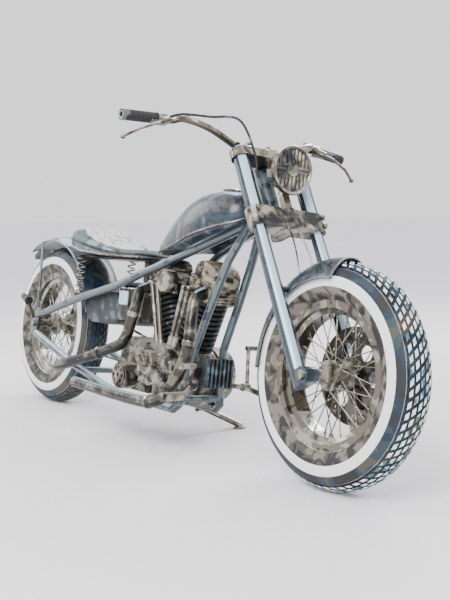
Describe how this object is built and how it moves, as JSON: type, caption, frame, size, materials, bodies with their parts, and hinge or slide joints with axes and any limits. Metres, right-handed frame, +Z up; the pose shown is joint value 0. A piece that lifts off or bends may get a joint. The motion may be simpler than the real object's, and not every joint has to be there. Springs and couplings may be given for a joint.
{
  "type": "chopper motorcycle",
  "caption": "Long-fork hardtail chopper motorcycle on its side stand, with a solo seat, V-twin engine, wire wheels, whitewall tyres and a raised handlebar.",
  "frame": {"origin": "on the floor under the middle of the parked machine's bounding box", "axes": "+X forward along the wheelbase, +Y to the rider's left, +Z up; the machine leans 8 degrees towards +Y onto its side stand"},
  "size_m": [2.4549, 0.9904, 1.1568],
  "materials": {
    "frame_paint": "gloss",
    "body_paint": "gloss blue with mottled grey and navy",
    "seat_leather": "tooled pale leather with a dark edge",
    "seat_steel": "dark brushed",
    "chrome": "polished",
    "black_plastic": "satin",
    "battery_paint": "satin with a light blue panel",
    "engine_alloy": "satin, mottled",
    "engine_warm": "warm grey satin",
    "cylinder_iron": "black finned",
    "exhaust_steel": "brushed",
    "fork_paint": "gloss light blue",
    "grip_rubber": "matt",
    "lamp_glass": "clear behind a grille",
    "tyre": "rubber with a white sidewall band"
  },
  "bodies": {
    "chassis": {"front_frame": "frame_paint", "rear_frame": "frame_paint", "fuel_tank": "body_paint", "fuel_cap": "chrome", "seat_cushion": "seat_leather", "seat_pan": "seat_steel", "rear_fender": "body_paint", "tail_light": "black_plastic", "rear_indicators": "black_plastic", "oil_tank": "black_plastic", "battery_box": "battery_paint", "crankcase": "engine_alloy", "cam_cover": "engine_alloy", "gearbox": "engine_alloy", "gearbox_cover": "engine_alloy", "primary_cover": "engine_alloy", "cylinders": "cylinder_iron", "cylinder_heads": "engine_warm", "rocker_boxes": "engine_warm", "pushrod_tubes": "chrome", "carburettor": "engine_alloy", "exhaust_pipes": "exhaust_steel", "foot_controls": "engine_alloy", "regulator": "black_plastic", "rear_axle": "chrome", "drive_chain": "exhaust_steel"},
    "steering": {"lower_tree": "engine_alloy", "upper_tree": "chrome", "fork_legs": "fork_paint", "handlebar": "chrome", "grips": "grip_rubber", "hand_levers": "chrome", "headlight_shell": "chrome", "headlight_lens": "lamp_glass", "front_fender": "body_paint", "front_caliper": "engine_alloy", "front_axle": "chrome", "brake_hose": "grip_rubber"},
    "front_wheel": {"front_tyre": "tyre", "front_rim": "chrome", "front_spokes": "chrome", "front_hub": "engine_alloy", "front_brake_disc": "exhaust_steel"},
    "rear_wheel": {"rear_tyre": "tyre", "rear_rim": "chrome", "rear_spokes": "chrome", "rear_hub": "engine_alloy"},
    "side_stand": {"side_stand": "chrome"}
  },
  "joints": [
    {"name": "steering_turn", "type": "hinge", "parent": "chassis", "child": "steering", "pos_m": [0.47652, -0.0177, 0.87193], "axis": [-0.5, 0.1205, 0.8576], "range_deg": [-32, 32]},
    {"name": "front_wheel_spin", "type": "hinge", "parent": "steering", "child": "front_wheel", "pos_m": [0.8875, -0.09283, 0.33735], "axis": [0, 0.9903, -0.1392], "continuous": true},
    {"name": "rear_wheel_spin", "type": "hinge", "parent": "chassis", "child": "rear_wheel", "pos_m": [-0.8875, -0.09283, 0.33735], "axis": [0, 0.9903, -0.1392], "continuous": true},
    {"name": "side_stand_fold", "type": "hinge", "parent": "chassis", "child": "side_stand", "pos_m": [0.0175, 0.00954, 0.09575], "axis": [-0.0804, 0.6948, 0.7147], "range_deg": [0, 102]}
  ]
}
